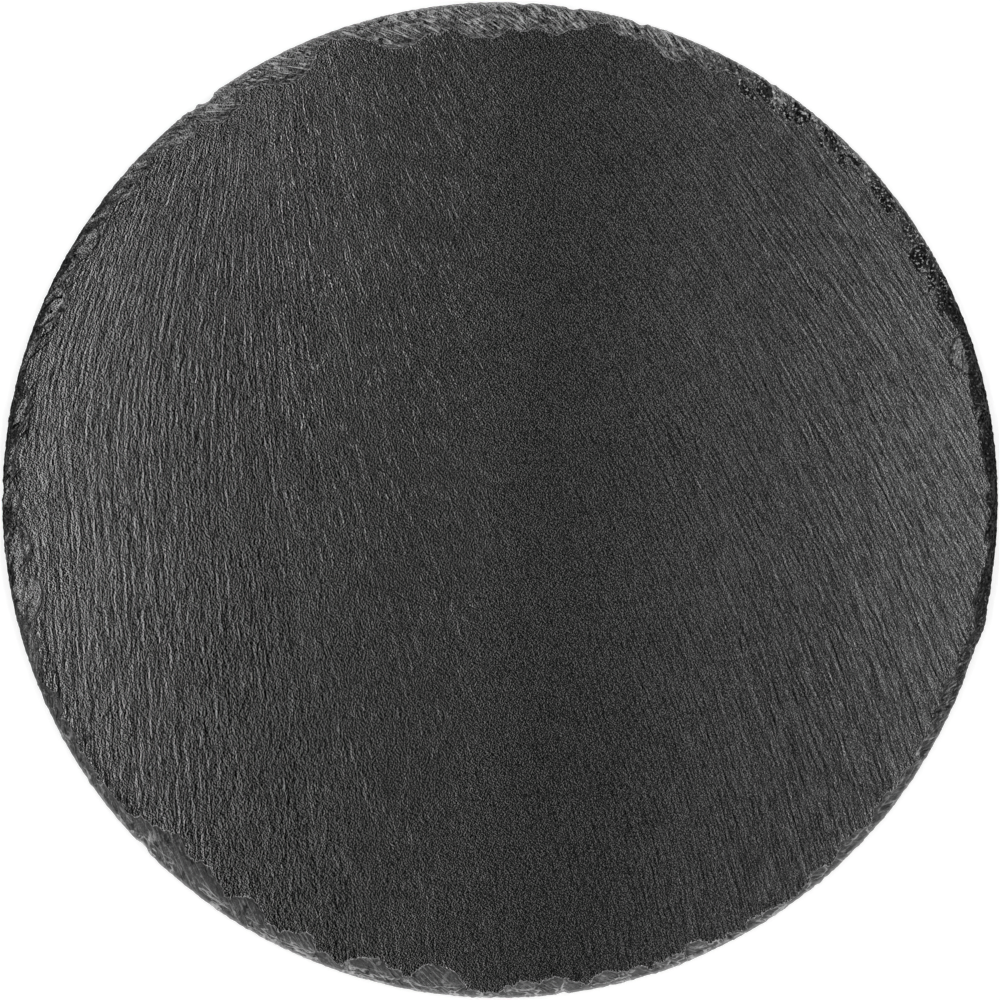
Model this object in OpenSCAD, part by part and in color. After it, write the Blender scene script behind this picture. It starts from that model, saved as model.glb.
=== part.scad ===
// Round serving board of natural slate with a hand-dressed rim.
// It lies flat: the serving face is up, and four small bumpers are stuck under it.
// Lengths are in millimetres, angles in degrees, anticlockwise from +X as seen from above.

/* [Slate] */
// Diameter of the stone at its base
slate_d = 300; // [270:1:340]
// Thickness of the stone
slate_t = 5; // [4:0.1:8]
// Bevel along the lower edge of the stone
under_bevel = 0.4; // [0.2:0.1:0.8]

/* [Dressed rim] */
// Height of the thin lip that the dressing leaves at the base
lip_h = 1.2; // [0.8:0.1:2]
// Width of the narrow dressed slope, seen from above
slope_w = 3; // [2:0.1:5]
// Half the width of the widest flake scar
scar_half_w = 10; // [8:0.5:13]
// Distance that the longest flake scar reaches in from the rim
scar_reach = 12; // [9:0.5:15]
// Depth of the deepest flake scar below the serving face
scar_depth = 3.6; // [2:0.1:3.8]
// Deepest bite in the outline
nick_depth = 1.3; // [0.5:0.1:2]
// How far the proud corner stands out of the outline
proud_out = 1.1; // [0.4:0.1:2]

/* [Feet] */
// Distance between the centres of two neighbouring feet
foot_pitch = 150; // [120:1:170]
// Diameter of a foot where it is stuck on
foot_d = 14; // [10:0.5:20]
// Diameter of the flat that a foot stands on
foot_tread_d = 11; // [7:0.5:12]
// Height of a foot
foot_h = 2.4; // [1.8:0.1:4]
// Rounding of a foot's lower edge
foot_round = 0.8; // [0.4:0.1:1]
// Diameter of the adhesive disc between a foot and the stone
adhesive_d = 13; // [8:0.5:13]
// Thickness of the adhesive disc
adhesive_t = 0.3; // [0.2:0.05:0.6]

/* [Hidden] */

overrun = 1;
round_fn = 96;
stone_z = foot_h + adhesive_t;

// Share of a scar's depth that is the step at its inner end
step_share = 0.4;
// Lean of that step away from the floor's upright, in degrees
step_lean = 52;
// Number of passes in which the scars are struck
scar_sets = 5;
// Height of the proud corners
proud_h = lip_h + (slate_t - lip_h) / 3;

// Flake scars, in order round the rim.
// Angle, then shares of scar_half_w, scar_reach and scar_depth.
scar_shares = [
    [5.5, 1.00, 0.42, 0.90], [13.5, 0.84, 0.38, 0.85], [17.3, 0.42, 0.74, 0.35],
    [22.5, 0.84, 0.34, 0.85], [27.0, 0.62, 0.32, 0.80], [29.5, 0.46, 0.64, 0.45],
    [32.6, 0.72, 0.46, 0.75], [37.5, 0.58, 0.30, 0.90], [41.5, 0.52, 0.29, 0.90],
    [44.8, 0.48, 0.44, 0.70], [46.7, 0.36, 0.52, 0.60], [49.8, 0.58, 0.33, 0.85],
    [53.2, 0.60, 0.66, 0.60], [56.3, 0.54, 0.61, 0.70], [60.8, 0.68, 0.34, 0.90],
    [64.4, 0.54, 0.57, 0.65], [66.8, 0.38, 0.44, 0.80], [69.0, 0.48, 0.70, 0.65],
    [72.0, 0.44, 0.44, 0.80], [74.7, 0.64, 0.54, 0.75], [78.5, 0.58, 0.35, 0.90],
    [81.0, 0.46, 0.62, 0.60], [83.9, 0.64, 0.80, 0.65], [87.2, 0.40, 0.80, 0.50],
    [91.8, 0.94, 1.00, 0.85], [98.0, 0.60, 0.77, 0.70], [102.0, 0.80, 0.99, 0.80],
    [105.6, 0.44, 0.56, 0.70], [108.5, 0.54, 0.38, 0.90], [111.5, 0.38, 0.29, 0.85],
    [116.0, 0.76, 0.90, 0.80], [120.0, 0.44, 0.56, 0.75], [122.6, 0.44, 0.33, 0.90],
    [125.3, 0.52, 0.82, 0.80], [128.6, 0.44, 0.32, 0.90], [130.9, 0.30, 0.62, 0.50],
    [133.6, 0.48, 0.40, 0.80], [136.7, 0.48, 0.43, 0.80], [140.3, 0.58, 0.58, 0.70],
    [144.4, 0.54, 0.46, 0.85], [147.9, 0.42, 0.62, 0.50], [151.6, 0.62, 0.48, 0.80],
    [156.4, 0.70, 0.65, 0.85], [161.3, 0.70, 0.34, 0.90], [169.2, 0.70, 0.60, 0.85],
    [173.8, 0.54, 0.43, 0.80], [177.0, 0.44, 0.38, 0.85], [179.6, 0.48, 0.55, 0.60],
    [185.4, 0.74, 0.77, 0.70], [189.8, 0.48, 0.59, 0.80], [191.3, 0.30, 0.93, 0.35],
    [194.0, 0.44, 0.59, 0.60], [196.3, 0.30, 0.46, 0.70], [199.8, 0.58, 0.40, 0.85],
    [204.2, 0.64, 0.43, 0.80], [208.6, 0.54, 0.40, 0.85], [212.8, 0.58, 0.38, 0.90],
    [216.0, 0.44, 0.35, 0.85], [219.6, 0.62, 0.44, 0.95], [222.9, 0.30, 0.62, 0.50],
    [226.0, 0.72, 0.87, 0.75], [231.2, 0.66, 0.86, 0.80], [235.2, 0.50, 0.44, 0.90],
    [238.3, 0.38, 0.81, 0.70], [241.8, 0.48, 0.44, 0.80], [245.6, 0.44, 0.62, 0.80],
    [249.2, 0.54, 0.35, 0.90], [255.0, 0.84, 0.65, 0.90], [260.0, 0.38, 0.38, 0.85],
    [262.4, 0.52, 0.78, 0.75], [267.5, 0.74, 0.32, 0.95], [272.7, 0.52, 0.51, 0.85],
    [277.0, 0.52, 0.55, 0.85], [282.4, 0.54, 0.47, 0.90], [286.4, 0.48, 0.33, 0.85],
    [290.2, 0.54, 0.35, 0.90], [293.7, 0.44, 0.46, 0.80], [298.2, 0.58, 0.30, 0.90],
    [304.2, 0.74, 0.33, 0.95], [309.6, 0.70, 0.33, 0.90], [315.8, 0.90, 0.39, 0.90],
    [321.4, 0.64, 0.38, 0.90], [326.0, 0.64, 0.32, 0.90], [330.6, 0.54, 0.36, 0.85],
    [334.0, 0.48, 0.45, 0.80], [336.9, 0.54, 0.50, 0.85], [342.6, 0.48, 0.32, 0.90],
    [348.5, 0.96, 0.42, 0.90], [355.5, 0.70, 0.23, 0.95]];

// Bites in the outline: angle, then shares of scar_half_w and nick_depth
nick_shares = [
    [57.0, 0.16, 0.50], [73.6, 0.22, 0.70], [81.6, 0.22, 0.65], [87.4, 0.24, 0.60],
    [126.2, 0.30, 1.00], [128.2, 0.18, 0.65], [179.0, 0.30, 0.40], [224.1, 0.28, 0.65],
    [277.2, 0.18, 0.50], [340.2, 0.30, 0.35]];

// Proud corners: angle, then shares of slate_d and proud_out
proud_shares = [[345.6, 0.08, 1.00], [348.8, 0.16, 0.50], [321.0, 0.14, 0.45]];

// Feet: name, then direction along X and along Y from the middle
foot_sides = [["front_left", -1, -1], ["front_right", 1, -1],
              ["back_left", -1, 1], ["back_right", 1, 1]];

// Half width and reach of one scar, and its depth at the rim, in millimetres
function scar_w(s) = s[1] * scar_half_w;
function scar_in(s) = s[2] * scar_reach;
function scar_down(s) = s[3] * min(scar_depth, slate_t - lip_h);

// Radius of the arc that a scar's floor draws inside the rim
function scar_circle(s) = (pow(scar_w(s), 2) + pow(scar_in(s), 2)) / (2 * scar_in(s));
// Height of the steep step at the scar's inner end
function scar_step(s) = step_share * scar_down(s);
// Slope of the floor, down towards the rim
function scar_tilt(s) = min(atan((scar_down(s) - scar_step(s)) / scar_in(s)), step_lean);

// One blank of stone, bevelled below and sloped above, standing on z = 0
module blank(r) {
    rotate_extrude($fn = round_fn)
        polygon([[0, 0], [r - under_bevel, 0], [r, under_bevel], [r, lip_h],
                 [r - slope_w, slate_t], [0, slate_t]]);
}

// A flake scar has a flat floor that slopes down to the rim, and a steep step behind it
module scar(s) {
    step_run = scar_step(s) * tan(step_lean - scar_tilt(s));
    h = 2 * slate_t;
    rotate(s[0])
        translate([slate_d / 2 - scar_in(s) + step_run, 0, slate_t - scar_step(s)])
            rotate([0, scar_tilt(s), 0])
                translate([scar_circle(s), 0, 0])
                    cylinder(r1 = scar_circle(s), r2 = scar_circle(s) + h * tan(step_lean), h = h,
                             $fn = round_fn);
}

// A nick goes through the whole thickness
module nick(n) {
    half_w = n[1] * scar_half_w;
    bite = n[2] * nick_depth;
    r = (pow(half_w, 2) + pow(bite, 2)) / (2 * bite);
    rotate(n[0])
        translate([slate_d / 2 - bite + r, 0, -overrun])
            cylinder(r = r, h = slate_t + 2 * overrun, $fn = round_fn);
}

// A proud corner bulges out of the lip, and stays below the serving face
module proud_corner(p) {
    r = p[1] * slate_d;
    rotate(p[0])
        translate([slate_d / 2 + p[2] * proud_out - r, 0, under_bevel])
            cylinder(r1 = r, r2 = r - proud_out, h = proud_h - under_bevel, $fn = round_fn);
}

// The blank after the first sets of scars are struck: the scars of one set don't meet
module struck(sets) {
    if (sets == 0)
        union() {
            blank(slate_d / 2);
            for (p = proud_shares) proud_corner(p);
        }
    else
        difference() {
            struck(sets - 1);
            for (i = [sets - 1 : scar_sets : len(scar_shares) - 1]) scar(scar_shares[i]);
        }
}

module slate_disc() {
    color("dimgray")
        translate([0, 0, stone_z])
            difference() {
                struck(scar_sets);
                for (n = nick_shares) nick(n);
            }
}

// Bumper with a tapered side and a rounded tread edge
module foot(side) {
    tread_r = foot_tread_d / 2;
    color("black")
        translate([side[1] * foot_pitch / 2, side[2] * foot_pitch / 2, 0])
            rotate_extrude($fn = round_fn)
                union() {
                    polygon([[0, 0], [tread_r, 0], [tread_r + foot_round, foot_round],
                             [foot_d / 2, foot_h], [0, foot_h]]);
                    intersection() {
                        translate([tread_r, foot_round])
                            circle(r = foot_round, $fn = round_fn);
                        square([tread_r + foot_round, foot_round]);
                    }
                }
}

module adhesive(side) {
    color("gainsboro")
        translate([side[1] * foot_pitch / 2, side[2] * foot_pitch / 2, foot_h])
            cylinder(d = min(adhesive_d, foot_d), h = adhesive_t, $fn = round_fn);
}

slate_disc();
for (side = foot_sides) {
    foot(side);
    adhesive(side);
}
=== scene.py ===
import bpy
import bmesh
import math
from types import SimpleNamespace
import numpy as np
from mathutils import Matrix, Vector
from mathutils.bvhtree import BVHTree
from mathutils.geometry import delaunay_2d_cdt


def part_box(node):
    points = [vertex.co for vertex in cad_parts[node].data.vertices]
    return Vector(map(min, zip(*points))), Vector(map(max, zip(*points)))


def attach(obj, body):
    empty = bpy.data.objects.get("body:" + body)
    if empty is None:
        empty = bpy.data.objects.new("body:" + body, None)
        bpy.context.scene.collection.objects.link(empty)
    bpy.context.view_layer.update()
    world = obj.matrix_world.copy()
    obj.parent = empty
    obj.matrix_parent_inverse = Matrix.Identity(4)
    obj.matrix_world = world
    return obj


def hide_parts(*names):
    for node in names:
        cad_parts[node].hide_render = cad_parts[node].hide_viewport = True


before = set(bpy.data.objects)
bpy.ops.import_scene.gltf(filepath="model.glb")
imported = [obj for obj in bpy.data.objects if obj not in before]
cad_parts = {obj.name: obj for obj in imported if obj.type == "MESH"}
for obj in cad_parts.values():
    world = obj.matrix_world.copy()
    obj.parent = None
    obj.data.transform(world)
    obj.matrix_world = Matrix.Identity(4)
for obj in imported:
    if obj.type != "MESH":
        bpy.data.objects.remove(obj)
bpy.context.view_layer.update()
scene = bpy.context.scene
stoneLow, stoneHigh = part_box("slate_disc")
stoneRadius = (stoneHigh.x - stoneLow.x) / 2
print("frame loaded:", sorted(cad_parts))


# helpers shared by the geometry and shader trees

grains = SimpleNamespace(    # octaves of each noise, and how much of its strength the next one keeps
    single=(0.0, 0.5), plain=(1.0, 0.5), soft=(1.5, 0.5), rolling=(2.0, 0.5), speckled=(1.5, 0.6),
    chipped=(2.0, 0.6), ridged=(3.0, 0.55), ragged=(3.0, 0.6), split=(3.0, 0.62), jagged=(3.0, 0.65),
    calm=(4.0, 0.55), worn=(4.0, 0.6), crumbly=(4.0, 0.62), gritty=(4.0, 0.65))
creaseFade = 0.6             # share of a crease's width that shows in full


class Net:
    def __init__(self, tree):
        self.tree = tree

    def add(self, kind, feeds=None, **settings):
        made = self.tree.nodes.new(kind)
        for key, value in settings.items():
            setattr(made, key, value)
        for key, value in (feeds or {}).items():
            self.feed(made.inputs[key], value)
        return made

    def make(self, kind, feeds=None, **settings):
        return self.add(kind, feeds, **settings).outputs[0]

    def group(self, tree, feeds):
        return self.add("ShaderNodeGroup", feeds, node_tree=tree).outputs

    def feed(self, socket, value):
        if isinstance(value, bpy.types.NodeSocket):
            self.tree.links.new(value, socket)
        else:
            socket.default_value = value

    def math(self, operation, *values):
        return self.make("ShaderNodeMath", dict(enumerate(values)), operation=operation)

    def vector(self, operation, *values, scale=None):
        feeds = dict(enumerate(values))
        if scale is not None:
            feeds["Scale"] = scale
        return self.make("ShaderNodeVectorMath", feeds, operation=operation)

    def length(self, value):
        return self.add("ShaderNodeVectorMath", {0: value}, operation="LENGTH").outputs["Value"]

    def combine(self, x=0.0, y=0.0, z=0.0):
        return self.make("ShaderNodeCombineXYZ", {"X": x, "Y": y, "Z": z})

    def split(self, value):
        return self.add("ShaderNodeSeparateXYZ", {0: value}).outputs

    def ramp(self, value, low, high, toLow=0.0, toHigh=1.0, smooth=True):
        kind = "SMOOTHSTEP" if smooth else "LINEAR"
        feeds = {"Value": value, "From Min": low, "From Max": high, "To Min": toLow, "To Max": toHigh}
        return self.add("ShaderNodeMapRange", feeds, interpolation_type=kind).outputs["Result"]

    def chain(self, operation, values):
        made = values[0]
        for value in values[1:]:
            made = self.math(operation, made, value)
        return made

    def plus(self, *values):
        return self.chain("ADD", values)

    def minus(self, first, second):
        return self.math("SUBTRACT", first, second)

    def times(self, *values):
        return self.chain("MULTIPLY", values)

    def over(self, first, second):
        return self.math("DIVIDE", first, second)

    def most(self, *values):
        return self.chain("MAXIMUM", values)

    def least(self, *values):
        return self.chain("MINIMUM", values)

    def size(self, value):
        return self.math("ABSOLUTE", value)

    def rest(self, share):
        return self.minus(1.0, share)

    def centred(self, value):
        return self.minus(value, 0.5)

    def mix(self, share, low, high):
        return self.plus(low, self.times(share, self.minus(high, low)))

    def noise(self, vector, pitch=None, detail=2.0, rough=0.5, twist=0.0, output=0):
        scale = 1.0 if pitch is None else self.over(1.0, pitch)
        feeds = {"Vector": vector, "Scale": scale, "Detail": detail, "Roughness": rough,
                 "Distortion": twist}
        return self.add("ShaderNodeTexNoise", feeds).outputs[output]

    def stray(self, vector, pitch, detail, rough):
        # a vector that wanders round zero
        return self.vector("SUBTRACT", self.noise(vector, pitch, detail, rough, output=1), (0.5, 0.5, 0.5))

    def turned(self, vector, angle):
        feeds = {"Vector": vector, "Angle": angle}
        return self.make("ShaderNodeVectorRotate", feeds, rotation_type="Z_AXIS")

    def creases(self, height, rise, offset, width):
        # thin lines where a height passes its middle, told by its distance over its rise
        away = self.size(self.minus(self.over(self.centred(height), rise), offset))
        return self.ramp(away, width, width * creaseFade)


def addInputs(tree, named):
    for name, value in named.items():
        kind = value if isinstance(value, str) else "Float"      # a word names a kind, a number is a default
        socket = tree.interface.new_socket(name=name, in_out="INPUT", socket_type="NodeSocket" + kind)
        if kind is not value:
            socket.default_value = value


# the stone's grain: its lines run from front to back and lean over, more so on the right

grain = {
    "leftLean": 4.0, "leftFan": -46.0,      # degrees to the left; a fan adds its degrees per radius
    "fanStart": -0.4, "fanWidth": 0.35, "fanReach": 0.6,
    "rightLean": 25.5, "rightFan": 15.0,
    "turnFrom": -0.62, "turnTo": 0.16,      # where the left lean turns into the right one, in radii
    "steps": 40,
    "leftShares": (0.02, -0.60), "rightShares": (-0.12, 0.42),      # where the ripples grow, in radii
    "leastStreaky": 0.2, "rightStreaky": 0.78,
}


def leanSlope(x, y):
    x, y = x / stoneRadius, y / stoneRadius
    turn = np.clip((x - grain["turnFrom"]) / (grain["turnTo"] - grain["turnFrom"]), 0, 1)
    turn = turn * turn * (3 - 2 * turn)
    fan = np.clip(grain["fanStart"] - x, 0, grain["fanReach"]) / grain["fanWidth"] * np.clip(y, 0, 1)
    left = grain["leftLean"] + grain["leftFan"] * fan
    right = grain["rightLean"] + grain["rightFan"] * np.clip(y, -1, 1)
    return np.tan(np.radians(left + (right - left) * turn))


def carried(x, fromY, toY):
    x = np.array(x, float)
    step = (toY - fromY) / grain["steps"]
    y = np.array(fromY, float) + 0 * step
    for _ in range(grain["steps"]):
        half = x - leanSlope(x, y) * step / 2
        x = x - leanSlope(half, y + step / 2) * step
        y = y + step
    return x


def grainPlace(x, y):
    return carried(x, np.asarray(y), np.zeros_like(y)), np.asarray(y)


def fromGrain(across, along):
    return carried(across, np.zeros_like(along), along), along


# slate: a closed net whose face quads follow the grain, with a finer band at the rim

slateNet = {
    "acrossStep": 0.0008,    # face net, across the grain
    "alongStep": 0.0030,     # face net, along the grain
    "bandWidth": 0.0125,     # rim band
    "bandRings": 28,
    "spokes": 1900,
    "wallShares": (0.78, 0.56, 0.36, 0.2),
    "underBevel": 0.0004,
    "underStep": 0.0036,
    "lipProbe": 0.0008,      # height above the underside where the outline is read
    "keepInside": 1,         # the triangulation keeps what its loops enclose
    "joinWithin": 1e-7,
    "gridReach": 1.25,       # of the stone's radius, how far a grid goes before it is cut
    "castFrom": 1.2,
    "faceGap": 0.3,          # of a cell, how near its points may come to the ring that cuts a grid
    "underGap": 0.4,
    "topShare": 0.99,
    "flatShare": 0.15,       # of a film's radius round it, where the underside stays flat
}


def outlineRadii(count):
    tree = BVHTree.FromObject(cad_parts["slate_disc"], bpy.context.evaluated_depsgraph_get())
    z = stoneLow.z + slateNet["lipProbe"]
    found = []
    for k in range(count):
        turn = 2 * math.pi * k / count
        out = Vector((math.cos(turn), math.sin(turn), 0))
        start = out * stoneRadius * slateNet["castFrom"] + Vector((0, 0, z))
        place = tree.ray_cast(start, -out)[0]
        found.append(place.xy.length)
    return np.array(found)


def stitched(loopPlaces, loopEdges, outsideGrid):
    made = delaunay_2d_cdt([Vector(p) for p in loopPlaces], loopEdges, [],
                           slateNet["keepInside"], slateNet["joinWithin"])
    places = np.array([p[:] for p in made[0]])
    triangles = np.array(made[2])
    middles = places[triangles].mean(1)
    kept = triangles[outsideGrid(middles[:, 0], middles[:, 1])]
    return [[made[3][i][0] for i in triangle] for triangle in kept]


def gridInCircle(xs, ys, radius):
    inside = xs ** 2 + ys ** 2 < radius ** 2
    cells = inside[:-1, :-1] & inside[1:, :-1] & inside[:-1, 1:] & inside[1:, 1:]
    used = np.zeros(xs.shape, bool)
    for di, dj in ((0, 0), (1, 0), (0, 1), (1, 1)):
        used[di:di + cells.shape[0], dj:dj + cells.shape[1]] |= cells
    number = -np.ones(xs.shape, int)
    number[used] = np.arange(used.sum())
    i, j = np.nonzero(cells)
    quads = np.stack([number[i, j], number[i + 1, j], number[i + 1, j + 1], number[i, j + 1]], 1)
    return used, cells, quads


def rimOf(quads):
    edges = np.concatenate([quads[:, [k, (k + 1) % 4]] for k in range(4)])
    keys = np.sort(edges, 1)
    _, first, counts = np.unique(keys, axis=0, return_index=True, return_counts=True)
    return edges[first[counts == 1]]


def fillRing(xs, ys, cellOf, ringX, ringY, gap):
    used, cells, quads = gridInCircle(xs, ys, np.hypot(ringX, ringY).min() - gap)
    insideX, insideY = xs[used], ys[used]
    rim = rimOf(quads)
    rimPoints = np.unique(rim)
    slot = {int(p): k for k, p in enumerate(rimPoints)}
    places = [(insideX[p], insideY[p]) for p in rimPoints] + list(zip(ringX, ringY))
    base, n = len(rimPoints), len(ringX)
    edges = [(slot[int(a)], slot[int(b)]) for a, b in rim]
    edges += [(base + k, base + (k + 1) % n) for k in range(n)]

    def outsideGrid(x, y):
        i, j = cellOf(x, y)
        return ~cells[np.clip(i, 0, cells.shape[0] - 1), np.clip(j, 0, cells.shape[1] - 1)]

    triangles = stitched(places, edges, outsideGrid)
    total = len(insideX)
    names = [int(p) for p in rimPoints] + [total + k for k in range(n)]
    return insideX, insideY, quads.tolist(), [[names[i] for i in t] for t in triangles]


def squareGrid(step, rise, bent):
    # a grid wider than the stone, and the cell of any point on it; a bent one follows the grain
    reach = stoneRadius * slateNet["gridReach"]
    nu, nv = int(reach / step), int(reach / rise)
    xs, ys = np.meshgrid(np.arange(-nu, nu + 1) * step, np.arange(-nv, nv + 1) * rise, indexing="ij")
    if bent:
        xs, ys = fromGrain(xs, ys)

    def cellOf(x, y):
        a, b = grainPlace(x, y) if bent else (x, y)
        return np.floor(a / step).astype(int) + nu, np.floor(b / rise).astype(int) + nv

    return xs, ys, cellOf


def buildSlateNet():
    outline = outlineRadii(slateNet["spokes"])
    n = len(outline)
    turns = 2 * math.pi * np.arange(n) / n
    cosT, sinT = np.cos(turns), np.sin(turns)
    innerRadius = stoneRadius - slateNet["bandWidth"]
    columns = {"x": [], "y": [], "share": [], "outline": [], "under": []}
    faces = []

    def addPoints(x, y, share, reach, under=0.0):
        start = sum(len(c) for c in columns["x"])
        columns["x"].append(np.asarray(x, float))
        columns["y"].append(np.asarray(y, float))
        for key, value in (("share", share), ("outline", reach), ("under", under)):
            columns[key].append(np.broadcast_to(np.asarray(value, float), np.shape(x)))
        return start

    def bridge(first, second):
        for k in range(n):
            faces.append([first + k, first + (k + 1) % n, second + (k + 1) % n, second + k])

    xs, ys, cellOf = squareGrid(slateNet["acrossStep"], slateNet["alongStep"], True)
    ringX, ringY = cosT * innerRadius, sinT * innerRadius
    gap = slateNet["alongStep"] * slateNet["faceGap"]
    px, py, quads, triangles = fillRing(xs, ys, cellOf, ringX, ringY, gap)
    addPoints(px, py, 1.0, stoneRadius)
    lastRing = addPoints(ringX, ringY, 1.0, outline)
    faces.extend(quads)
    faces.extend(triangles)
    bandShares = np.linspace(0, 1, slateNet["bandRings"] + 1)[1:]
    rings = [(innerRadius + (outline - innerRadius) * share, 1.0) for share in bandShares]
    rings += [(outline, share) for share in slateNet["wallShares"]]
    for radius, share in rings:
        ring = addPoints(cosT * radius, sinT * radius, share, outline)
        bridge(lastRing, ring)
        lastRing = ring
    foot = outline - slateNet["underBevel"]
    xs, ys, cellOf = squareGrid(slateNet["underStep"], slateNet["underStep"], False)
    gap = slateNet["underStep"] * slateNet["underGap"]
    px, py, quads, triangles = fillRing(xs, ys, cellOf, cosT * foot, sinT * foot, gap)
    start = addPoints(px, py, 0.0, stoneRadius, 1.0)
    ring = addPoints(cosT * foot, sinT * foot, 0.0, outline)
    bridge(lastRing, ring)
    faces.extend([[start + i for i in f] for f in quads + triangles])

    data = {key: np.concatenate(value) for key, value in columns.items()}
    z = np.where(data["share"] > slateNet["topShare"], stoneHigh.z, stoneLow.z)
    mesh = bpy.data.meshes.new("slateStone")
    mesh.from_pydata(np.stack([data["x"], data["y"], z], 1).tolist(), [], faces)
    across, along = grainPlace(data["x"], data["y"])
    clear = np.ones(len(across))
    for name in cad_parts:
        if name.startswith("adhesive"):
            low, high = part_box(name)
            middle, reach = (low + high) / 2, (high.x - low.x) / 2
            away = np.hypot(data["x"] - middle.x, data["y"] - middle.y)
            clear = np.minimum(clear, np.clip((away - reach) / reach - slateNet["flatShare"], 0, 1))
    for key, values in (("share", data["share"]), ("outline", data["outline"]),
                        ("under", data["under"] * clear), ("across", across), ("along", along)):
        mesh.attributes.new(key, "FLOAT", "POINT").data.foreach_set("value", values.astype(np.float32))
    work = bmesh.new()
    work.from_mesh(mesh)
    bmesh.ops.recalc_face_normals(work, faces=work.faces)
    work.to_mesh(mesh)
    work.free()
    print("slate net:", len(mesh.vertices), "points")
    return mesh


# slate relief: scars read from the CAD stone, roughened, split into laminae, and the riven ripples

slateRelief = {
    "Scar Warp": 0.0017,        # how far scar edges wander
    "Warp Size": 0.0042,
    "Front Warp": 0.0034,       # the same along the front, at a larger size
    "Front Size": 0.0095,
    "Probe Inset": 0.0002,      # the CAD stone is probed from above, inside its outline
    "Probe Rise": 0.001,
    "Probe Length": 0.05,
    "Lamina": 0.0009,           # height of one split layer
    "Lamina Jag": 0.00042,
    "Jag Size": 0.0024,
    "Crumble": 0.00032,
    "Crumble Size": 0.0017,
    "Ripple": 0.00016,          # height of the riven ripples
    "Ripple Pitch": 0.0022,
    "Ripple Length": 0.016,
    "Finger Pitch": 0.006,      # fingers in which the ripples reach into the calm middle
    "Finger Length": 0.06,
    "Finger Drift": 0.11,
    "Swell": 0.00018,
    "Swell Size": 0.034,
    "Edge Wear": 0.0008,
    "Wear Size": 0.0017,
    "Wall Grain": 0.00022,
    "Wall Scale": 400.0,
    "Wall Layers": 14.0,
    "Under Relief": 0.00022,
    "Under Size": 0.011,
    "Least Stone": 0.0009,      # stone that stays under the deepest scar
    "Least Depth": 0.00001,
    "Lip": 0.0012,
    "Front X": -0.139,          # the way out of the stone where its break is smoothest
    "Front Y": -0.990,
}

reliefZones = {
    # where each part of the relief starts and is in full
    "smoothBreak": (0.22, 0.56), "evenSweep": (0.15, 1.0), "evenCrumble": (0.1, 1.0),
    "broken": (0.00003, 0.00022), "laminaStep": (0.28, 0.62), "plate": (0.72, 0.92),
    "nearEdge": (0.0016, 0.0), "wall": (0.97, 0.9),
    # what is left of a part where it is least, and how the ripples of two sizes add up
    "leastLayered": 0.15, "leastSweep": 0.25, "leastCrumble": 0.3, "brokenRipple": 0.45,
    "mostStepped": 0.9, "widePitch": 2.6, "wideLength": 2.0, "wideSeed": 3.0,
    "narrowShare": 0.65, "wideShare": 0.6, "wallStrength": 5.0, "leastRadius": 0.01,
}


def streakStrength(net, x):
    def grown(shares, full):
        return net.ramp(x, shares[0] * stoneRadius, shares[1] * stoneRadius, grain["leastStreaky"], full)

    return net.most(grown(grain["leftShares"], 1.0), grown(grain["rightShares"], grain["rightStreaky"]))


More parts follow.
